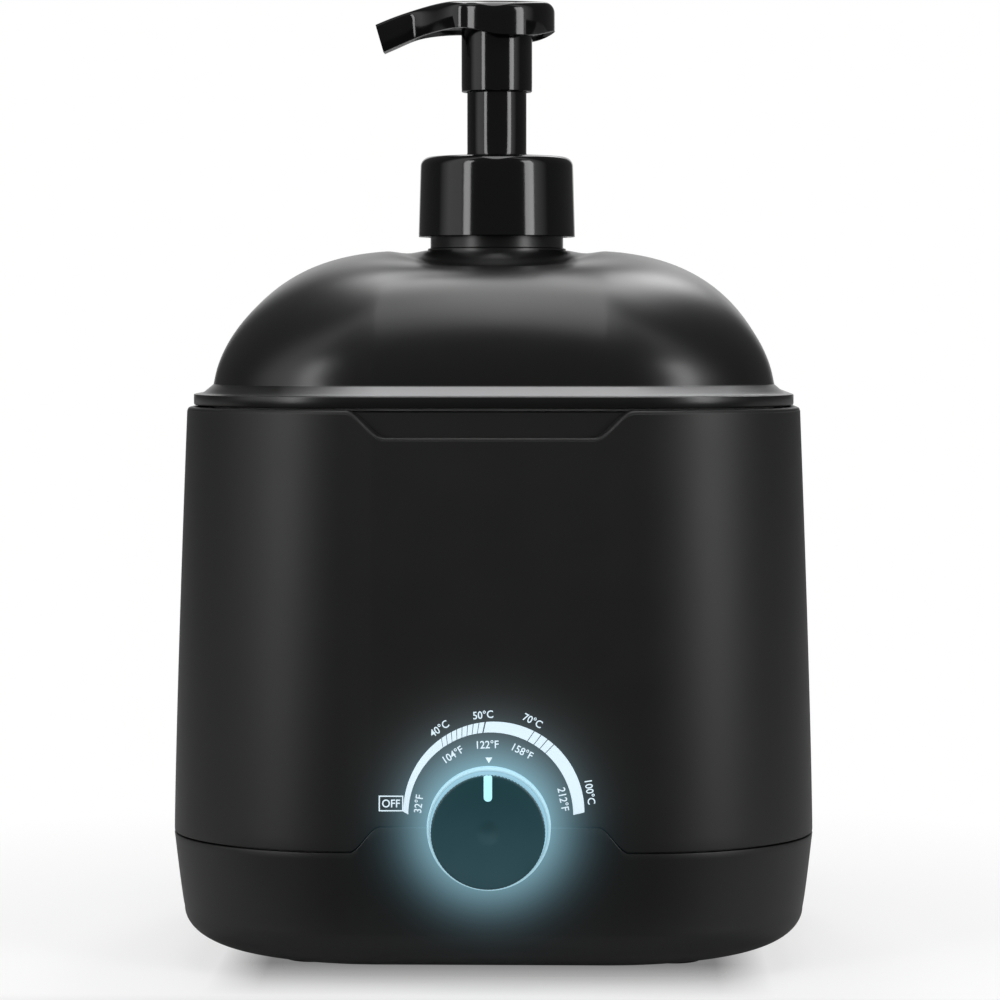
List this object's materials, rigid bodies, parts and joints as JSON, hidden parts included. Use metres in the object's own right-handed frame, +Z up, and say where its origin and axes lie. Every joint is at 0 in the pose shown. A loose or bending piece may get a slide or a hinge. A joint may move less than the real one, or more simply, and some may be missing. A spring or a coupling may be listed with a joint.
{
  "type": "hot lather machine",
  "caption": "Hot lather machine: rounded-square heated housing, lift-off domed lid, foam pump with a side spout, finger notch, lit temperature knob on the front and a rear mains inlet.",
  "frame": {"origin": "middle of the footprint, on the surface it stands on", "axes": "+Z up, along the foam pump; -Y is the front with the knob; +X is right as seen from the front"},
  "size_m": [0.172, 0.1809, 0.2624],
  "materials": {
    "housing_plastic": "satin black",
    "pump_plastic": "gloss black",
    "knob_plastic": "finely ribbed, dark",
    "light_plastic": "translucent, lit",
    "natural_plastic": "natural",
    "foot_rubber": "matt",
    "silicone": "matt",
    "aluminium": "drawn",
    "steel": "zinc plated",
    "brass": "bright",
    "felt": "felt",
    "mesh_fabric": "fine mesh",
    "board": "solder mask",
    "board_parts": "moulded",
    "lead_blue": "wire insulation",
    "lead_red": "wire insulation",
    "lead_yellow": "wire insulation"
  },
  "bodies": {
    "housing": {"base_shell": "housing_plastic", "upper_shell": "housing_plastic", "well_collar": "housing_plastic", "foot_front_left": "foot_rubber", "foot_front_right": "foot_rubber", "foot_rear_left": "foot_rubber", "foot_rear_right": "foot_rubber", "shell_screws": "steel", "tank": "aluminium", "tank_gasket": "silicone", "tank_screws": "steel", "tank_jacket": "felt", "heater": "steel", "heater_clamp": "steel", "heater_nut": "steel", "thermal_fuse": "steel", "temperature_sensor": "brass", "control_board": "board", "board_parts": "board_parts", "board_screws": "steel", "panel_bracket": "steel", "bracket_screws": "steel", "dial_control": "steel", "dial_nut": "steel", "light_board": "board", "light_diodes": "light_plastic", "light_ring": "light_plastic", "power_inlet": "housing_plastic", "inlet_pins": "brass", "inlet_leads": "lead_blue", "heater_leads": "lead_red", "panel_leads": "lead_yellow"},
    "dial": {"knob": "knob_plastic", "knob_pointer": "light_plastic", "dial_shaft": "steel"},
    "cover": {"lid": "housing_plastic", "lid_seal": "silicone"},
    "pump": {"pump_body": "natural_plastic", "pump_gasket": "silicone", "dip_tube": "natural_plastic", "foot_valve": "steel", "pump_spring": "steel"},
    "cap": {"collar": "pump_plastic"},
    "plunger": {"pump_stem": "natural_plastic", "air_piston": "natural_plastic", "liquid_piston": "natural_plastic", "foam_mesh": "mesh_fabric"},
    "press_head": {"pump_head": "pump_plastic"}
  },
  "joints": [
    {"name": "dial_turn", "type": "hinge", "parent": "housing", "child": "dial", "pos_m": [0, 0, 0.0417], "axis": [0, 1, 0], "range_deg": [-85, 80]},
    {"name": "lid_lift", "type": "slide", "parent": "housing", "child": "cover", "axis": [0, 0, 1], "range_m": [0, 0.1]},
    {"name": "pump_lift", "type": "slide", "parent": "cover", "child": "pump", "axis": [0, 0, 1], "range_m": [0, 0.155]},
    {"name": "cap_turn", "type": "hinge", "parent": "pump", "child": "cap", "pos_m": [0, 0.0044, 0.208], "axis": [0, 0, 1], "range_deg": [0, 540]},
    {"name": "pump_press", "type": "slide", "parent": "pump", "child": "plunger", "axis": [0, 0, -1], "range_m": [0, 0.017], "stiffness_N_per_m": 500, "springref_m": -0.01, "deforming": ["pump_spring"]},
    {"name": "head_swivel", "type": "hinge", "parent": "plunger", "child": "press_head", "pos_m": [0, 0.0044, 0.25], "axis": [0, 0, 1], "continuous": true}
  ]
}
